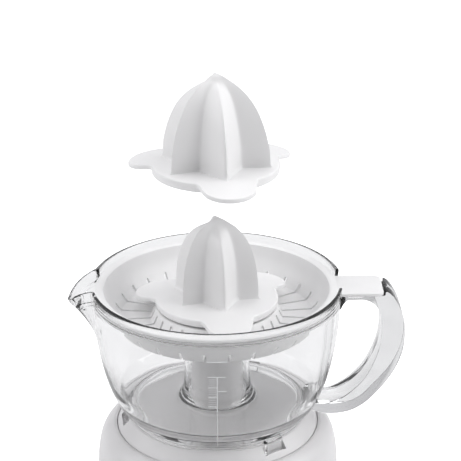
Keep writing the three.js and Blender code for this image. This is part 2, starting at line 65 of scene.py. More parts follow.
# ------------------------------------------------------------------ camera
def make_camera():
    data = bpy.data.cameras.new("camera")
    data.sensor_width, data.lens = 36.0, 1550.0 / 461.0 * 36.0
    data.clip_start, data.clip_end = 0.05, 30.0
    cam = bpy.data.objects.new("camera", data)
    bpy.context.scene.collection.objects.link(cam)
    elevation, distance = 24.1, 1.0424
    back = Vector((0, -cos(elevation), sin(elevation)))
    cam.location = Vector((0, 0, RIM / 1000)) + back * distance
    # the jug's rim centre sits left of and below the middle of the frame
    aim = (-back).to_track_quat("-Z", "Y").to_matrix()
    left = math.atan(14.36 / 1550.0)
    down = math.atan(48.7 / 1550.0)
    roll = math.radians(-0.42)
    turn = Matrix.Rotation(down, 3, "X") @ Matrix.Rotation(-left, 3, "Y") @ Matrix.Rotation(roll, 3, "Z")
    cam.rotation_mode = "QUATERNION"
    cam.rotation_quaternion = (aim @ turn).to_quaternion()
    bpy.context.scene.camera = cam


make_camera()


# ------------------------------------------------------------------ curve helpers
def pchip(table):
    """Smooth monotone interpolation of [(x, y), ...]."""
    x = np.array([p[0] for p in table], float)
    y = np.array([p[1] for p in table], float)
    h = np.diff(x)
    d = np.diff(y) / h
    m = np.zeros(len(x))
    for i in range(1, len(x) - 1):
        if d[i - 1] * d[i] > 0:
            w1, w2 = 2 * h[i] + h[i - 1], h[i] + 2 * h[i - 1]
            m[i] = (w1 + w2) / (w1 / d[i - 1] + w2 / d[i])
    m[0], m[-1] = d[0], d[-1]

    def f(v):
        v = np.clip(np.asarray(v, float), x[0], x[-1])
        i = np.clip(np.searchsorted(x, v, side="right") - 1, 0, len(h) - 1)
        t = (v - x[i]) / h[i]
        return (
            y[i] * (1 + 2 * t) * (1 - t) ** 2
            + y[i + 1] * t * t * (3 - 2 * t)
            + h[i] * (m[i] * t * (1 - t) ** 2 - m[i + 1] * t * t * (1 - t))
        )

    return f


def rounded(points, closed=True, default=0.0, turn=15.0):
    """Corners of a polygon [(x, y[, radius]), ...] replaced with arcs."""
    out, n = [], len(points)
    for i, p in enumerate(points):
        rho = p[2] if len(p) > 2 else default
        P = np.array(p[:2], float)
        if rho <= 0 or (not closed and i in (0, n - 1)):
            out.append(P)
            continue
        u = np.array(points[i - 1][:2], float) - P
        v = np.array(points[(i + 1) % n][:2], float) - P
        lu, lv = np.linalg.norm(u), np.linalg.norm(v)
        u, v = u / lu, v / lv
        ang = math.acos(float(np.clip(u @ v, -1, 1)))
        if ang > math.pi - 0.03:
            out.append(P)
            continue
        t = min(rho / math.tan(ang / 2), lu * 0.48, lv * 0.48)
        rr = t * math.tan(ang / 2)
        b = (u + v) / np.linalg.norm(u + v)
        c = P + b * rr / math.sin(ang / 2)
        s, e = P + u * t - c, P + v * t - c
        sweep = math.pi - ang
        k = max(2, math.ceil(math.degrees(sweep) / turn))
        sign = 1.0 if s[0] * e[1] - s[1] * e[0] > 0 else -1.0
        for j in range(k + 1):
            a = sign * sweep * j / k
            out.append(c + np.array([s[0] * math.cos(a) - s[1] * math.sin(a), s[0] * math.sin(a) + s[1] * math.cos(a)]))
    return [tuple(q) for q in out]


def spline(points, step=2.5):
    """Points on a centripetal Catmull-Rom curve through the given ones, ends included."""
    P = [np.array(p[:2], float) for p in points]
    P = [2 * P[0] - P[1]] + P + [2 * P[-1] - P[-2]]
    out = []
    for i in range(1, len(P) - 2):
        p0, p1, p2, p3 = P[i - 1 : i + 3]
        t0 = 0.0
        t1 = t0 + np.linalg.norm(p1 - p0) ** 0.5
        t2 = t1 + np.linalg.norm(p2 - p1) ** 0.5
        t3 = t2 + np.linalg.norm(p3 - p2) ** 0.5
        n = max(1, round(np.linalg.norm(p2 - p1) / step))
        for j in range(n):
            t = t1 + (t2 - t1) * j / n
            a1 = (t1 - t) / (t1 - t0) * p0 + (t - t0) / (t1 - t0) * p1
            a2 = (t2 - t) / (t2 - t1) * p1 + (t - t1) / (t2 - t1) * p2
            a3 = (t3 - t) / (t3 - t2) * p2 + (t - t2) / (t3 - t2) * p3
            b1 = (t2 - t) / (t2 - t0) * a1 + (t - t0) / (t2 - t0) * a2
            b2 = (t3 - t) / (t3 - t1) * a2 + (t - t1) / (t3 - t1) * a3
            out.append(tuple((t2 - t) / (t2 - t1) * b1 + (t - t1) / (t2 - t1) * b2))
    out.append(tuple(P[-2]))
    return out


# ------------------------------------------------------------------ mesh helpers
def new_object(name, verts, faces):
    """verts in mm."""
    me = bpy.data.meshes.new(name)
    me.from_pydata([tuple(v) for v in np.asarray(verts, float) * 0.001], [], faces)
    bm = bmesh.new()
    bm.from_mesh(me)
    bmesh.ops.remove_doubles(bm, verts=bm.verts, dist=2e-6)
    bmesh.ops.dissolve_degenerate(bm, edges=bm.edges, dist=1e-7)
    bmesh.ops.recalc_face_normals(bm, faces=bm.faces)
    bm.to_mesh(me)
    bm.free()
    ob = bpy.data.objects.new(name, me)
    bpy.context.scene.collection.objects.link(ob)
    return ob


def grid(name, rings, closed_profile=True):
    """rings[azimuth][profile] -> closed surface; the azimuths always close on themselves."""
    rings = np.asarray(rings, float)
    na, npf, _ = rings.shape
    faces = []
    last = npf if closed_profile else npf - 1
    for j in range(na):
        k = (j + 1) % na
        for i in range(last):
            l = (i + 1) % npf
            faces.append((j * npf + i, k * npf + i, k * npf + l, j * npf + l))
    return new_object(name, rings.reshape(-1, 3), faces)


def turned(name, profile, segments=144, bend=None, azimuths=None, centre=(0, 0)):
    """A profile [(r, z), ...] turned about Z. It is closed unless both ends are on the axis."""
    az = np.arange(segments) * 360.0 / segments if azimuths is None else np.asarray(azimuths)
    rings = []
    for a in az:
        ring = []
        for r, h in profile:
            b, q, y = bend(a, r, h) if bend else (a, r, h)
            ring.append((centre[0] + q * cos(b), centre[1] + q * sin(b), y))
        rings.append(ring)
    on_axis = profile[0][0] == 0 and profile[-1][0] == 0
    return grid(name, rings, not on_axis)


def prism(name, outline, lo, hi, bevel=0.0, place=None, segments=3):
    """An outline [(x, y), ...] extruded from lo to hi, with rounded edges, then placed by a 4x4 matrix in mm."""
    n = len(outline)
    verts = [(x, y, lo) for x, y in outline] + [(x, y, hi) for x, y in outline]
    faces = [tuple(range(n))[::-1], tuple(range(n, 2 * n))]
    faces += [(i, (i + 1) % n, n + (i + 1) % n, n + i) for i in range(n)]
    ob = new_object(name, verts, faces)
    if bevel:
        m = ob.modifiers.new("b", "BEVEL")
        m.width, m.segments, m.limit_method, m.angle_limit = bevel * 0.001, segments, "ANGLE", math.radians(50)
        m.use_clamp_overlap = True
        apply(ob)
    if place is not None:
        M = Matrix(place)
        M.translation = M.translation * 0.001
        ob.data.transform(M)
        if M.determinant() < 0:
            ob.data.flip_normals()
    return ob


def apply(ob):
    bpy.context.view_layer.update()
    dg = bpy.context.evaluated_depsgraph_get()
    me = bpy.data.meshes.new_from_object(ob.evaluated_get(dg))
    ob.modifiers.clear()
    ob.data = me
    return ob


def cut(ob, *others, op="DIFFERENCE"):
    """Boolean with each other object, which is then removed."""
    for other in others:
        m = ob.modifiers.new("c", "BOOLEAN")
        m.operation, m.object = op, other
        try:
            m.solver = "MANIFOLD"
        except TypeError:
            m.solver = "EXACT"
        apply(ob)
        bpy.data.objects.remove(other)
    return ob


def join_all(ob, *others):
    return cut(ob, *others, op="UNION")


def merge_objects(name, obs):
    """One object that holds several separate shells."""
    bm = bmesh.new()
    for o in obs:
        bm.from_mesh(o.data)
    me = bpy.data.meshes.new(name)
    bm.to_mesh(me)
    bm.free()
    for o in obs:
        bpy.data.objects.remove(o)
    ob = bpy.data.objects.new(name, me)
    bpy.context.scene.collection.objects.link(ob)
    return ob


def about(deg, x=0, y=0, z=0):
    return Matrix.Translation((x, y, z)) @ Matrix.Rotation(math.radians(deg), 4, "Z")


def box_outline(x0, x1, y0, y1, r=0.0):
    return rounded([(x0, y0), (x1, y0), (x1, y1), (x0, y1)], default=r)


def clean(ob, angle=32.0):
    me = ob.data
    bm = bmesh.new()
    bm.from_mesh(me)
    bmesh.ops.remove_doubles(bm, verts=bm.verts, dist=1e-6)
    bmesh.ops.dissolve_degenerate(bm, edges=bm.edges, dist=1e-6)
    bm.to_mesh(me)
    bm.free()
    me.polygons.foreach_set("use_smooth", [True] * len(me.polygons))
    me.set_sharp_from_angle(angle=math.radians(angle))
    me.update()


def piece(ob, body, material, replaces=(), angle=32.0):
    clean(ob, angle)
    ob.data.materials.clear()
    ob.data.materials.append(material)
    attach(ob, body)
    if replaces:
        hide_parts(*replaces)
    return ob


# ------------------------------------------------------------------ materials
class Nodes:
    def __init__(self, name):
        self.mat = bpy.data.materials.new(name)
        self.mat.use_nodes = True
        self.t = self.mat.node_tree
        self.t.nodes.clear()
        self.out = self.t.nodes.new("ShaderNodeOutputMaterial")
        self.coord = self.t.nodes.new("ShaderNodeTexCoord").outputs["Object"]

    def node(self, kind, **values):
        n = self.t.nodes.new("ShaderNode" + kind)
        for k, v in values.items():
            if isinstance(v, bpy.types.NodeSocket):
                self.t.links.new(v, n.inputs[k])
            elif k in n.inputs:
                n.inputs[k].default_value = v
            else:
                setattr(n, k, v)
        return n

    def noise(self, scale, detail=3.0, roughness=0.5, vector=None):
        return self.node("TexNoise", Vector=vector or self.coord, Scale=scale, Detail=detail, Roughness=roughness).outputs["Fac"]

    def ramp(self, fac, *stops):
        n = self.node("ValToRGB", Fac=fac)
        e = n.color_ramp.elements
        while len(e) < len(stops):
            e.new(0.5)
        for el, (p, c) in zip(e, stops):
            el.position = p
            el.color = (*c, 1) if hasattr(c, "__len__") else (c, c, c, 1)
        return n.outputs["Color"]

    def rng(self, value, a, b, c, d):
        n = self.node("MapRange", Value=value)
        for k, v in zip(("From Min", "From Max", "To Min", "To Max"), (a, b, c, d)):
            n.inputs[k].default_value = v
        return n.outputs["Result"]

    def bump(self, height, strength, distance, normal=None):
        n = self.node("Bump", Height=height, Strength=strength, Distance=distance)
        if normal is not None:
            self.t.links.new(normal, n.inputs["Normal"])
        return n.outputs["Normal"]

    def finish(self, shader):
        self.t.links.new(shader, self.out.inputs["Surface"])
        return self.mat


def plastic(name, light, dark, rough, coat=0.0, subsurface=0.0, grain=1.0):
    """Moulded plastic: faint mottling, flow streaks, fine surface waviness."""
    n = Nodes(name)
    cloud = n.noise(38, 4, 0.55)
    fine = n.noise(900, 2, 0.6)
    stretch = n.node("Mapping", Vector=n.coord)
    stretch.inputs["Scale"].default_value = (1, 1, 0.18)
    flow = n.noise(55, 3, 0.5, stretch.outputs["Vector"])
    both = n.node("Math", operation="ADD")
    n.t.links.new(cloud, both.inputs[0])
    n.t.links.new(flow, both.inputs[1])
    color = n.ramp(n.rng(both.outputs[0], 0.7, 1.3, 0, 1), (0.0, dark), (1.0, light))
    rough_map = n.rng(fine, 0.3, 0.7, rough * 0.86, rough * 1.16)
    normal = n.bump(n.noise(70, 2, 0.4), 0.05 * grain, 0.0004)
    normal = n.bump(fine, 0.045 * grain, 0.00003, normal)
    b = n.node("BsdfPrincipled", Roughness=rough_map, Normal=normal)
    n.t.links.new(color, b.inputs["Base Color"])
    b.inputs["IOR"].default_value = 1.5
    b.inputs["Coat Weight"].default_value = coat
    b.inputs["Coat Roughness"].default_value = 0.08
    b.inputs["Subsurface Weight"].default_value = subsurface
    b.inputs["Subsurface Radius"].default_value = (1.0, 0.95, 0.9)
    b.inputs["Subsurface Scale"].default_value = 0.0015
    return n.finish(b.outputs["BSDF"])


def clear_plastic(name, tint=(0.982, 0.983, 0.984), rough=0.02, ior=1.49):
    """Clear moulded plastic: slightly wavy, fine haze; lamps shine through it."""
    n = Nodes(name)
    haze = n.noise(160, 3, 0.55)
    rough_map = n.rng(haze, 0.35, 0.75, rough * 0.5, rough * 2.0)
    normal = n.bump(n.noise(30, 2, 0.4), 0.10, 0.0006)
    normal = n.bump(n.noise(220, 2, 0.5), 0.03, 0.0001, normal)
    # painted shade: the handle, picked out by its X position, gets a darker base colour that stands in for the light
    # its solid section takes up compared with the thin walls
    x = n.node("SeparateXYZ", Vector=n.coord).outputs["X"]
    depth = n.rng(x, 0.081, 0.094, 0, 1)
    clear = n.ramp(n.noise(24, 2, 0.5), (0.3, tuple(c - 0.012 for c in tint)), (0.7, tint))
    handle_painted_shade = n.ramp(n.noise(60, 3, 0.55), (0.3, (0.83, 0.832, 0.834)), (0.7, (0.90, 0.902, 0.904)))
    blend = n.node("Mix", data_type="RGBA")
    n.t.links.new(depth, blend.inputs[0])
    n.t.links.new(clear, blend.inputs[6])
    n.t.links.new(handle_painted_shade, blend.inputs[7])
    color = blend.outputs[2]
    b = n.node("BsdfPrincipled", Roughness=rough_map, Normal=normal)
    n.t.links.new(color, b.inputs["Base Color"])
    b.inputs["IOR"].default_value = ior
    b.inputs["Transmission Weight"].default_value = 1.0
    through = n.node("BsdfTransparent", Color=(0.975, 0.975, 0.975, 1))
    mix = n.node("MixShader", Fac=n.node("LightPath").outputs["Is Shadow Ray"])
    n.t.links.new(b.outputs["BSDF"], mix.inputs[1])
    n.t.links.new(through.outputs["BSDF"], mix.inputs[2])
    body = n.node("VolumeAbsorption")
    body.inputs["Color"].default_value = (0.50, 0.502, 0.504, 1)
    body.inputs["Density"].default_value = 7.0
    n.t.links.new(body.outputs["Volume"], n.out.inputs["Volume"])
    return n.finish(mix.outputs["Shader"])


def metal(name, light, dark, rough, streak=(1, 1, 30), scale=120):
    n = Nodes(name)
    m = n.node("Mapping", Vector=n.coord)
    m.inputs["Scale"].default_value = streak
    lines = n.noise(scale, 4, 0.6, m.outputs["Vector"])
    spots = n.noise(60, 3, 0.5)
    color = n.ramp(lines, (0.3, dark), (0.7, light))
    rough_map = n.rng(spots, 0.3, 0.7, rough * 0.75, rough * 1.25)
    b = n.node("BsdfPrincipled", Roughness=rough_map, Normal=n.bump(lines, 0.12, 0.00005), Metallic=1.0)
    n.t.links.new(color, b.inputs["Base Color"])
    return n.finish(b.outputs["BSDF"])


def winding(name):
    n = Nodes(name)
    w = n.node("TexWave", Vector=n.coord, Scale=420.0, Distortion=1.2, bands_direction="Z")
    color = n.ramp(w.outputs["Fac"], (0.1, (0.22, 0.06, 0.02)), (0.8, (0.62, 0.24, 0.09)))
    b = n.node("BsdfPrincipled", Roughness=0.32, Metallic=0.8, Normal=n.bump(w.outputs["Fac"], 0.5, 0.0003))
    n.t.links.new(color, b.inputs["Base Color"])
    return n.finish(b.outputs["BSDF"])


WHITE = plastic("white_plastic", (0.815, 0.812, 0.815), (0.79, 0.787, 0.79), 0.36, coat=0.12)
# painted shade: the base is the same white plastic as the cones, given a darker, greyer colour to stand in for the
# shade it sits in
BASE_SHADED_WHITE = plastic("housing_plastic", (0.68, 0.672, 0.68), (0.655, 0.648, 0.655), 0.34, coat=0.2)
CLEAR = clear_plastic("clear_plastic")
MARKS = plastic("scale_marks", (0.86, 0.87, 0.88), (0.80, 0.81, 0.82), 0.5)
RUBBER = plastic("foot_rubber", (0.035, 0.035, 0.037), (0.018, 0.018, 0.02), 0.75, grain=4)
BLACK = plastic("black_plastic", (0.022, 0.022, 0.024), (0.014, 0.014, 0.016), 0.42, grain=3)
GREY = plastic("grey_plastic", (0.34, 0.35, 0.36), (0.28, 0.29, 0.30), 0.5, grain=4)
ACETAL = plastic("gear_acetal", (0.78, 0.76, 0.68), (0.72, 0.70, 0.61), 0.4, grain=2)
CAP = plastic("capacitor_case", (0.55, 0.38, 0.06), (0.46, 0.31, 0.04), 0.4, grain=2)
STEEL = metal("steel", (0.62, 0.63, 0.65), (0.46, 0.47, 0.49), 0.3)
ZINC = metal("zinc", (0.66, 0.66, 0.64), (0.50, 0.50, 0.49), 0.36, streak=(1, 1, 1))
BRONZE = metal("bronze", (0.58, 0.38, 0.15), (0.42, 0.26, 0.09), 0.45, streak=(1, 1, 1), scale=900)
COPPER = winding("copper_winding")


# ------------------------------------------------------------------ cones
RISE = pchip([(0, 1), (0.17, 0.985), (0.33, 0.937), (0.5, 0.852), (0.64, 0.75), (0.75, 0.631), (0.84, 0.491), (0.91, 0.337), (0.965, 0.17), (1, 0)])
RISE_SMALL = pchip([(0, 1), (0.17, 0.99), (0.33, 0.965), (0.5, 0.91), (0.64, 0.825), (0.75, 0.725), (0.84, 0.595), (0.91, 0.43), (0.965, 0.215), (1, 0)])
LOBE = pchip([(0, 1), (6, 0.955), (11, 0.835), (15.5, 0.655), (19, 0.42), (22.5, 0.14), (27, 0.0), (60, 0)])


def star_radius(share, a, R, V, rise, sharp=1.0):
    """Radius of the ribbed cone at a share of its height and a local azimuth. Ribs at 60, 180 and 300 form the tip."""
    main = float(rise(share))
    side = float(rise(min(1.0, share / 0.925)))
    valley = max(V * (0.25 * side + 0.75 * main), 1e-4)
    broad = max(R * side, 0.8 * valley)
    narrow = max(R * main, 1e-4)
    d = abs((a + 60.0) % 120.0 - 60.0)
    size = R * max(main, 0.02)
    e = min(7.0, math.degrees(1.1 * sharp / size))
    d = math.hypot(d, e) - 0.8 * e
    d = 60.0 - (math.hypot(60.0 - d, e) - 0.8 * e)
    flank = lambda r0, d0, r1, d1: r0 * r1 * sin(d1 - d0) / (r0 * sin(d - d0) + r1 * sin(d1 - d))
    wide, steep = flank(broad, 0, valley, 40), flank(valley, 40, narrow, 60)
    # the two flanks meet in a rounded valley
    k = min(1.3 * sharp, 0.2 * size)
    return 0.5 * (wide + steep + math.sqrt((wide - steep) ** 2 + k * k))


def cone(name, c, boss=False):
    R, V, H, B = c["ridge"], c["valley"], c["height"], c["base"]
    rise = RISE_SMALL if boss else RISE
    # heights of the rows as shares, closer together at the tip
    t = 1 - (1 - np.linspace(0, 1, 44)) ** 1.0
    rows = np.unique(np.concatenate([np.linspace(0, 0.9, 34), 1 - 0.1 * (1 - np.linspace(0, 1, 14)) ** 1.6]))
    rings = []
    edge_z = B - c["fall"] * (c["disc"] - R)
    fall = lambda r: B - c["fall"] * math.log1p(math.exp((r - R) / 1.2)) * 1.2
    az = np.arange(0, 360, 1.25)
    for a in az:
        local = float(a)
        d120 = abs((local + 60.0) % 120.0 - 60.0)
        edge = c["disc"] + (c["lobe"] - c["disc"]) * float(LOBE(d120 / c["wide"]))
        p = [(0.0, B + H)]
        for s in rows[::-1][1:]:
            h = s * H
            r = star_radius(s, local, R, V, rise)
            if h < 1.0:
                r += 1.0 - math.sqrt(max(0.0, 1 - (1 - h) ** 2))
            p.append((r, B + h))
        foot = p[-1][0]
        inner, outer = foot + 0.25, edge - 1.0
        for q in np.linspace(inner, outer, 9):
            p.append((q, fall(q)))
        for k in range(1, 7):
            w = math.radians(15 * k)
            p.append((outer + 1.0 * math.sin(w), fall(outer) - 1.0 * (1 - math.cos(w)) - c["fall"] * math.sin(w) * 0.3))
        zb = fall(edge) - FLANGE
        p.append((edge, fall(edge) - 1.6))
        p.append((edge, zb + 0.12))
        p.append((edge - 0.12, zb))
        so = c["disc"] - 0.3
        sb = edge_z - c["skirt"]
        so_z = min(fall(so) - FLANGE, edge_z - 1.0)
        p += [(so, fall(so) - FLANGE), (so - 0.05, (fall(so) - FLANGE + sb) / 2), (so - 0.15, sb + 0.35), (so - 0.5, sb), (so - 1.6, sb), (so - 1.95, sb + 0.35), (so - 2.1, fall(so - 2.1) - FLANGE)]
        iR, iV, iH = R - 4.2, V - 2.1, H - 3.8
        if not boss:
            p.append((star_radius(0, local, iR, iV, rise) + 1.2, fall(20) - FLANGE))
            for s in np.linspace(0, 0.985, 26):
                p.append((star_radius(s, local, iR, iV, rise), B - FLANGE + 0.6 * (s < 0.01) + s * (iH + FLANGE)))
            p.append((0.0, B + iH))
        else:
            # the groove between the ribbed wall and the boss, then the boss and its six-sided socket
            br, bz = 13.2, -14.7
            top = 0.0
            for s in np.linspace(0, 0.95, 96):
                if star_radius(s, local, iR, iV, rise) > br + 1.1:
                    top = s
            p.append((star_radius(0, local, iR, iV, rise) + 1.0, fall(20) - FLANGE))
            for s in np.linspace(0, top, 20):
                p.append((star_radius(s, local, iR, iV, rise), B - FLANGE + 0.6 * (s < 0.01) + s * (iH + FLANGE)))
            zt = B - FLANGE + top * (iH + FLANGE)
            p += [(br + 0.5, zt + 0.5), (br, zt), (br, bz + 0.4), (br - 0.4, bz)]
            w = a + CONE_TURN
            off = (w + 30.0) % 60.0 - 30.0
            hexr = 10.9 * cos(30) / cos(off)
            hexr = min(hexr, 10.75)
            p += [(hexr + 0.3, bz), (hexr, bz + 0.4), (hexr, -1.2), (hexr - 0.6, -0.6), (0.0, -0.6)]
        w = a + CONE_TURN
        rings.append([(q * cos(w), q * sin(w), RIM + h) for q, h in p])
    return grid(name, rings, closed_profile=False)


large = cone("reaming_cone_large", CONES["large"])
piece(large, "large_cone", WHITE, ["large_cone"], angle=38)
small = cone("reaming_cone_small", CONES["small"], boss=True)
piece(small, "small_cone", WHITE, ["small_cone"], angle=38)

# ------------------------------------------------------------------ strainer
outer_wall = spline([(78.4, -7.2), (74.8, -15.0), (70.0, -23.5), (67.2, -27.2)], 1.5)
inner_wall = spline([(68.0, -22.8), (72.8, -14.4), (76.0, -5.0)], 1.5)
profile = rounded([(82.1, -4.6, 0.9), (82.1, -6.9, 0.4)], False) if False else []
sp = [(82.1, -4.6, 1.0), (82.1, -6.9, 0.5), (79.2, -7.1, 0.6)]
sp += [(r, h) for r, h in outer_wall]
sp += [(66.2, -27.8, 0.8), (43.6, -27.8, 0.8), (40.6, -20.4, 1.0), (26.4, -19.8, 0.6), (26.2, -33, 0.5), (24.6, -33, 0.5), (24.4, -19.6, 0.6)]
sp += [(13, -19.4, 0.5), (12.8, -27, 0.5), (10.8, -27, 0.5), (10.8, -17.2, 0.6), (41.0, -18.3, 1.2), (44.6, -25.8, 1.0), (65.2, -25.8, 1.6)]
sp += [(r, h) for r, h in inner_wall]
sp += [(77.4, -4.6, 1.2)]
sp = rounded(sp, turn=22)
strainer = turned("strainer_basket", [(r, RIM + h) for r, h in sp], 312)
tab = prism("tab", rounded([(80.6, -15.3), (111.6, -15.3, 4.6), (111.6, 15.3, 4.6), (80.6, 15.3)]), RIM - 6.9, RIM - 4.6, 0.7)
strainer = join_all(strainer, tab)
slot_outline = rounded([(-1.1, -34), (1.1, -34), (1.1, -20.4, 1.05), (-1.1, -20.4, 1.05)], turn=18)
cutters = []
for i in range(SLOTS):
    a = -90 + 360.0 * (i + 0.5) / SLOTS
    # outline x, y and depth go to tangent, Z and radius
    M = Matrix.Rotation(math.radians(a), 4, "Z") @ Matrix(((0, 0, 1, 0), (1, 0, 0, 0), (0, 1, 0, RIM), (0, 0, 0, 1)))
    cutters.append(prism("slot", slot_outline, 41.6, 76.0, 0, M))
strainer = cut(strainer, merge_objects("slots", cutters))
piece(strainer, "strainer", WHITE, ["strainer"], angle=30)

# ------------------------------------------------------------------ drive sleeve
def hex_ring(r, z, turn, soft=0.97):
    """Radius function of a six-sided section with slightly rounded corners; turn is the azimuth of a corner."""
    def f(a):
        off = (a - turn + 30.0) % 60.0 - 30.0  # 0 at a corner
        return min(r * cos(30) / cos(30.0 - abs(off)), r * soft)
    return f


def sleeve():
    outer, bore = hex_ring(10.4, 0, 30), hex_ring(8.5, 0, 30)
    rings = []
    for a in np.arange(0, 360, 2.5):
        o, b = outer(a), bore(a)
        p = [(0, -1.0), (o - 0.9, -1.0), (o - 0.25, -1.25), (o, -1.9), (o, -14.6), (o + 0.4, -15.0), (13.6, -15.0), (14.0, -15.4), (14.0, -16.4), (13.6, -16.8)]
        p += [(10.7, -16.8), (10.3, -17.2), (10.3, -25.4), (9.8, -26.0), (b + 0.4, -26.0), (b, -25.5), (b, -4.0), (b - 0.6, -3.4), (0, -3.4)]
        rings.append([(q * cos(a), q * sin(a), RIM + h) for q, h in p])
    return grid("sleeve", rings, closed_profile=False)


piece(sleeve(), "sleeve", WHITE, ["drive_sleeve"]).name = "drive_sleeve_moulded"


def head():
    outer = hex_ring(8.0, 0, 30)
    rings = []
    for a in np.arange(0, 360, 2.5):
        o = outer(a)
        p = [(0, 186.0), (o * 0.62, 186.0), (o - 1.0, 185.4), (o - 0.2, 184.2), (o, 183.0), (o, 165.3), (o - 0.5, 164.8), (4.7, 164.8), (4.3, 165.3), (4.3, 183.9), (3.9, 184.3), (0, 184.3)]
        rings.append([(q * cos(a), q * sin(a), h) for q, h in p])
    return grid("head", rings, closed_profile=False)


piece(head(), "spindle", WHITE, ["drive_head"]).name = "drive_head_moulded"

# ------------------------------------------------------------------ jug: bowl, spout, column and handle in one clear moulding
SPOUT_R = pchip([(0, 100.8), (5.1, 98.6), (8.1, 94.2), (11.6, 87.9), (12.9, 85.6), (14, 85)])
SPOUT_Z = pchip([(0, -13.4), (5.1, -9.9), (8.1, -4.9), (11.6, -1), (12.9, 0), (14, 0)])
KEEL = pchip([(-40, 0), (-36.5, 1.3), (-14.5, 14.6), (-13.4, 15.5)])


def spout(a, r, height):
    d = abs((a - 180.0 + 180.0) % 360.0 - 180.0)
    h = height - RIM
    if d >= 14 or h < -40 or r < 70:
        return a, r, height
    lip = float(SPOUT_Z(d))
    drop = -40 + ((h + 40) * (lip + 40)) / 40
    at_lip = float(SPOUT_R(d)) - 85
    share = float(KEEL(min(drop, -13.4))) / 15.5
    width = 1 - (d / 14) * (1 - share) * 1.2
    bulge = max(0.0, at_lip * (max(share, 1 + h / 12) if h > -12 else share) * max(0.0, width))
    return a, r + bulge, RIM + drop


def bowl_profile():
    outer = spline([(84.95, -0.9), (84.2, -8), (83.4, -20), (82.3, -34), (80, -50), (76.8, -65), (71.6, -80), (66.4, -89), (61.6, -94.1)], 2.0)
    inner = spline([(69, -79.5), (74.5, -64), (77.8, -49.5), (80.1, -33), (81.5, -11.6)], 2.0)
    p = [(83.7, 0.0), (84.35, 0.0), (84.8, -0.25)]
    p += outer
    p += rounded([(61.2, -94.5), (61.0, -96.4, 0.5), (58.0, -96.4, 0.5), (57.4, -90, 1.2), (21.0, -88.4, 1.5), (19, -24.3, 0.4), (20.9, -24.0, 0.6)], False)
    p += spline([(20.95, -26.0), (21.3, -40), (21.8, -55), (22.5, -70), (23.1, -76.5), (24.4, -81.5), (27.4, -85.0), (33, -86.3)], 2.0)
    p += spline([(46, -86.9), (56.5, -87.2), (62.5, -85.6), (66.6, -82.2), (69, -79.5)], 2.0)[:-1]
    p += inner
    p += rounded([(81.6, -11), (81.3, -9.9, 0.5), (79.6, -9.3, 0.4), (79.6, -7.2, 0.3), (82.3, -7.2, 0.4), (82.75, -0.6)], False)
    p += [(82.95, -0.2), (83.3, 0.0)]
    return [(r, RIM + h) for r, h in p]


azimuths = np.unique(np.round(np.concatenate([np.arange(0, 165, 1.5), np.arange(165, 195.01, 0.5), np.arange(195, 360, 1.5)]), 3))
bowl = turned("clear_jug", bowl_profile(), azimuths=azimuths, bend=spout)
bowl = cut(bowl, prism("notch", box_outline(77, 93, -15.7, 15.7, 0.0), RIM - 7.2, RIM + 6, 0))

outline = (
    [(83.5, -7.6), (104, -7.6), (112.2, -7.6), (112.8, -7.3), (112.9, -5.2)]
    + spline([(113.4, -4.7), (115.6, -5.8), (118.4, -8.6), (120.8, -12.4), (123.6, -18), (125.9, -25), (127, -36), (125.8, -49), (121, -62.2), (113.2, -74.8), (103.4, -86.2), (96.5, -91.6), (89.6, -94.8), (79.6, -96.4), (71, -95.6), (62.4, -92.6)], 3.0)
    + [(64.5, -88.2)]
    + spline([(71.9, -88.9), (78.8, -87.6), (89, -81.6), (99, -71.5), (105.5, -60), (109.9, -47), (111.4, -34), (110.3, -22.4), (105.8, -14.2), (99.9, -10.9), (92, -10.7), (87.2, -11.2), (84.6, -14.2), (83.2, -17.6)], 3.0)
    + [(82.2, -17.6)]
)
# outline x, y and depth go to X, Z and -Y
M = Matrix(((1, 0, 0, 0), (0, 0, -1, 0), (0, 1, 0, RIM), (0, 0, 0, 1)))
grip = prism("grip", outline, -12.2, 12.2, 2.6, M, segments=4)
inside = [(0, 20.0), (84.0, 20.0), (84.0, -0.6)] + spline([(83.8, -2.0), (83.0, -10), (82.2, -20), (81.0, -34), (78.8, -50), (75.5, -65), (70.2, -80), (65.0, -88.4), (60.6, -92.6)], 4.0) + [(60.0, -110), (0, -110)]
grip = cut(grip, turned("inside", [(r, RIM + h) for r, h in inside], 180))
bowl = join_all(bowl, grip)
lugs = []
for a in LUGS:
    lugs.append(prism("lug", box_outline(59.6, 64.6, -6.6, 6.6, 0.8), RIM - 96.1, RIM - 93.2, 0.3, about(a)))
    lugs.append(prism("lug", box_outline(62.4, 64.6, -6.6, 6.6, 0.5), RIM - 103.6, RIM - 94.4, 0.3, about(a)))
bowl = join_all(bowl, *lugs)
piece(bowl, "jug", CLEAR, ["jug_bowl", "jug_handle"], angle=40)
bowl.name = "clear_jug_moulded"

# measuring marks, thin raised lines on the front wall
wall = pchip([(h, r) for r, h in [(61.2, -94.5), (66.4, -89), (71.6, -80), (76.8, -65), (80, -50), (82.3, -34), (83.4, -20), (84.2, -8), (85, 0)]])


def mark(x0, x1, h0, h1, n=1, m=1):
    """A thin strip that stands 0.12 mm proud of the wall between two x and two heights."""
    xs, hs = np.linspace(x0, x1, n + 1), np.linspace(h0, h1, m + 1)
    verts, faces = [], []
    for lift in (-0.12, 0.13):
        for h in hs:
            r = float(wall(h)) + lift
            for x in xs:
                verts.append((x, -math.sqrt(r * r - x * x), RIM + h))
    w, size = n + 1, (n + 1) * (m + 1)
    for j in range(m):
        for i in range(n):
            a = j * w + i
            faces.append((a, a + 1, a + w + 1, a + w))
            faces.append((size + a, size + a + w, size + a + w + 1, size + a + 1))
    for i in range(n):
        for a in (i, m * w + i):
            faces.append((a, a + 1, size + a + 1, size + a))
    for j in range(m):
        for a in (j * w, j * w + n):
            faces.append((a, a + w, size + a + w, size + a))
    return new_object("mark", verts, faces)


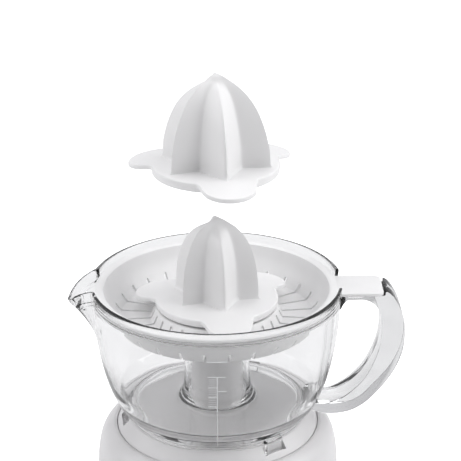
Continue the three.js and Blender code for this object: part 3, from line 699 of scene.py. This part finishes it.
# heights of the lines above the rim against their place down the scale
LEVEL = pchip([(0, -19.8), (14.5, -30.71), (25, -38.71), (34, -46.13), (61, -67.71), (74, -79.73), (83, -91)])
level = lambda q: float(LEVEL(q))
marks = [mark(-0.28, 0.28, -58.0, level(14.5), 1, 24), mark(-0.14, 0.14, -90.5, -58.3, 1, 24)]
marks.append(mark(-6.7, 7.0, level(0) - 0.25, level(0) + 0.25, 5, 1))
marks.append(mark(-6.2, 5.4, level(14.5) - 0.25, level(14.5) + 0.25, 4, 1))
for q in (25, 34, 43.5):
    marks.append(mark(-5.9, -0.35, level(q) - 0.25, level(q) + 0.25, 3, 1))
for q in (28.5,):
    marks.append(mark(0.35, 5.9, level(q) - 0.25, level(q) + 0.25, 3, 1))
for q in range(17, 47, 2):
    marks.append(mark(-5.6, -0.6, level(q) - 0.06, level(q) + 0.06, 3, 1))
marks = merge_objects("measuring_marks", marks)
piece(marks, "jug", MARKS, angle=30)

# ------------------------------------------------------------------ motor base
p = [(69.75, SEAM, 0.5), (71.8, SEAM, 0.8)]
p += spline([(72.6, 84.2), (76.4, 81.6), (80.3, 76), (82.6, 67), (83.9, 52), (84.0, 45), (83.4, 22), (81.6, 3.2)], 2.5)
p += [(81.3, 2.1, 0.5), (78.9, 2.1, 0.4), (80.9, 22), (81.5, 49), (80.3, 66), (77.6, 75.4), (73, 80), (66.4, 80, 0.4), (66.4, 81.8, 0.4), (69.75, 81.8)]
housing = turned("housing", rounded(p), 192)
# gland hole at the rear
hole = turned("hole", [(0, -8), (5.7, -8), (5.7, 8), (0, 8)], 48)
hole.data.transform(Matrix.Translation((0, 0.0815, 0.017)) @ Matrix.Rotation(math.radians(90), 4, "X"))
posts = []
POSTS = [(68 * cos(a), 68 * sin(a), a) for a in (20, 110, 200, 290)]
for x, y, a in POSTS:
    posts.append(turned("post", [(1.65, 8.1), (4.5, 8.1), (4.5, 80.6), (0, 80.6), (0, 22), (1.65, 22)], 32, centre=(x, y)))
    posts.append(prism("rib", box_outline(71.5, 81.1, -1, 1), 12, 64, 0, about(a)))
housing = cut(housing, hole)
for o in posts:
    housing = join_all(housing, o)
piece(housing, "base", BASE_SHADED_WHITE, ["base_housing"], angle=34)
housing.name = "housing_shell"

p = [(69.35, SEAM - 0.1, 0.6)] + spline([(68.6, 85.3), (65.6, 88.8), (61.4, 93.1)], 1.0)
p += [(60.9, DECK, 0.4), (20.6, DECK, 1.2), (18.2, 95.2, 1.6), (16.8, 157.5, 0.8), (15.4, TOWER_TOP, 0.8), (8.6, TOWER_TOP, 0.4), (8.6, 155), (13.4, 155), (15.2, 90.3, 0.8), (57.8, 90.3, 0.6), (59.4, 83.6, 0.6), (66.2, 82.2, 0.4), (69.35, 82.2, 0.4)]
deck = turned("deck", rounded(p), 192)
HANG = [(57 * cos(a), 57 * sin(a)) for a in (30, 150, 270)]
for a in LUGS:
    deck = cut(deck, prism("pocket", box_outline(61.8, 66.2, -8.6, 8.6, 0.6), 85.6, 98, 0, about(a)))
for x, y in HANG:
    deck = join_all(deck, turned("boss", [(1.65, 73.3), (4.6, 73.3), (4.6, 91), (0, 91), (0, 86.5), (1.65, 86.5)], 32, centre=(x, y)))
piece(deck, "base", BASE_SHADED_WHITE, ["top_deck"], angle=34)
deck.name = "deck_and_post"

for i, a in enumerate((-25, 65, 155, 245)):
    x, y = 64 * cos(a), 64 * sin(a)
    prof = rounded([(0, 0.35), (2.6, 0.35), (3.0, 0.0, 0.2), (7.4, 0.0, 0.5), (8.0, 0.8, 0.4), (8.0, 3.3, 0.5), (0, 3.3)], False)
    foot = turned(f"foot_pad_{i + 1}", prof, 64, centre=(x, y))
    piece(foot, "base", RUBBER, [f"rubber_foot_{i + 1}"])

prof = rounded([(3.5, 76.8, 0.3), (7.4, 76.8, 0.3), (7.4, 79.2, 0.3), (5.3, 79.2), (5.3, 84.5), (7.6, 84.5, 0.3), (7.3, 86.6, 0.9), (3.5, 86.6, 0.8)])
gland = turned("inlet_bush", prof, 72)
gland.data.transform(Matrix.Translation((0, 0, 0.017)) @ Matrix.Rotation(math.radians(-90), 4, "X"))
piece(gland, "base", BLACK, ["cord_gland"])

bush = turned("upper_bush_turned", rounded([(4.35, 155.6, 0.3), (8.2, 155.6, 0.4), (8.2, 160.3), (10.4, 160.3, 0.2), (10.4, 161.6, 0.4), (4.35, 161.6, 0.3)]), 96)
piece(bush, "base", BRONZE, ["tower_bush"])

# ------------------------------------------------------------------ CAD nodes that stay
KEEP = {
    "base_plate": BASE_SHADED_WHITE, "gearbox_case": GREY, "gearbox_cover": GREY, "lower_bush": BRONZE, "idler_pin": STEEL,
    "motor_can": STEEL, "stator_coil": COPPER, "micro_switch": BLACK, "run_capacitor": CAP, "motor_rotor": STEEL,
    "motor_pinion": ACETAL, "idler_gear": ACETAL, "output_gear": ACETAL, "drive_spindle": STEEL,
    "return_spring": STEEL, "switch_plunger": WHITE,
}
for name, ob in frame["nodes"].items():
    if ob.hide_render:
        continue
    mat = KEEP.get(name) or (ZINC if "screw" in name else None)
    if mat is None:
        raise RuntimeError("no material for " + name)
    if not ob.material_slots:
        ob.data.materials.append(mat)
    for s in ob.material_slots:
        s.material = mat

# ------------------------------------------------------------------ floor, world and lamps
def stage_floor():
    me = bpy.data.meshes.new("floor")
    s = 6.0
    me.from_pydata([(-s, -s, -0.0002), (s, -s, -0.0002), (s, s, -0.0002), (-s, s, -0.0002)], [], [(0, 1, 2, 3)])
    ob = bpy.data.objects.new("floor", me)
    bpy.context.scene.collection.objects.link(ob)
    n = Nodes("floor_white")
    d = n.node("BsdfDiffuse", Color=(0.62, 0.62, 0.625, 1))
    e = n.node("Emission", Color=(1, 1, 1, 1), Strength=n.rng(n.node("LightPath").outputs["Is Camera Ray"], 0, 1, 0.24, 0.92))
    add = n.node("AddShader")
    n.t.links.new(d.outputs["BSDF"], add.inputs[0])
    n.t.links.new(e.outputs["Emission"], add.inputs[1])
    me.materials.append(n.finish(add.outputs["Shader"]))


def world():
    w = bpy.data.worlds.new("studio")
    bpy.context.scene.world = w
    w.use_nodes = True
    t = w.node_tree
    t.nodes.clear()
    new = lambda kind: t.nodes.new("ShaderNode" + kind)
    out, bg_cam, bg = new("OutputWorld"), new("Background"), new("Background")
    mix, lp, tc, sep = new("MixShader"), new("LightPath"), new("TexCoord"), new("SeparateXYZ")
    bg_cam.inputs["Color"].default_value = (1, 1, 1, 1)
    bg_cam.inputs["Strength"].default_value = 1.05
    t.links.new(tc.outputs["Generated"], sep.inputs[0])
    # darker towards -Y, lighter behind and above
    ramp = new("ValToRGB")
    rng = new("MapRange")
    rng.inputs["From Min"].default_value, rng.inputs["From Max"].default_value = -1, 1
    add = new("Math")
    add.operation = "MULTIPLY_ADD"
    add.inputs[1].default_value = 0.55
    t.links.new(sep.outputs["Z"], add.inputs[0])
    t.links.new(sep.outputs["Y"], add.inputs[2])
    t.links.new(add.outputs[0], rng.inputs["Value"])
    t.links.new(rng.outputs["Result"], ramp.inputs["Fac"])
    e = ramp.color_ramp.elements
    e[0].position, e[0].color = 0.12, (0.20, 0.20, 0.202, 1)
    e[1].position, e[1].color = 0.72, (0.80, 0.80, 0.82, 1)
    t.links.new(ramp.outputs["Color"], bg.inputs["Color"])
    bg.inputs["Strength"].default_value = 0.80
    t.links.new(lp.outputs["Is Camera Ray"], mix.inputs[0])
    t.links.new(bg.outputs[0], mix.inputs[1])
    t.links.new(bg_cam.outputs[0], mix.inputs[2])
    t.links.new(mix.outputs[0], out.inputs["Surface"])


def softbox(name, azimuth, elevation, distance, width, height, power, target=(0, 0, 0.18)):
    data = bpy.data.lights.new(name, "AREA")
    data.shape, data.size, data.size_y, data.energy = "RECTANGLE", width, height, power
    data.color = (1.0, 1.0, 1.0)
    ob = bpy.data.objects.new(name, data)
    bpy.context.scene.collection.objects.link(ob)
    back = Vector((cos(azimuth) * cos(elevation), sin(azimuth) * cos(elevation), sin(elevation)))
    ob.location = Vector(target) + back * distance
    ob.rotation_mode = "QUATERNION"
    ob.rotation_quaternion = back.to_track_quat("Z", "Y")


stage_floor()
world()
softbox("softbox_right", -12, 34, 1.2, 1.3, 1.1, 10.6, (0, 0, 0.24))
softbox("softbox_left", -168, 34, 1.2, 1.3, 1.1, 7.0, (0, 0, 0.24))
softbox("softbox_top", 90, 68, 1.4, 1.2, 0.9, 4.5)

scene = bpy.context.scene
scene.view_settings.view_transform = "Standard"
scene.view_settings.look = "None"
scene.view_settings.exposure = 0.0
scene.view_settings.gamma = 1.0
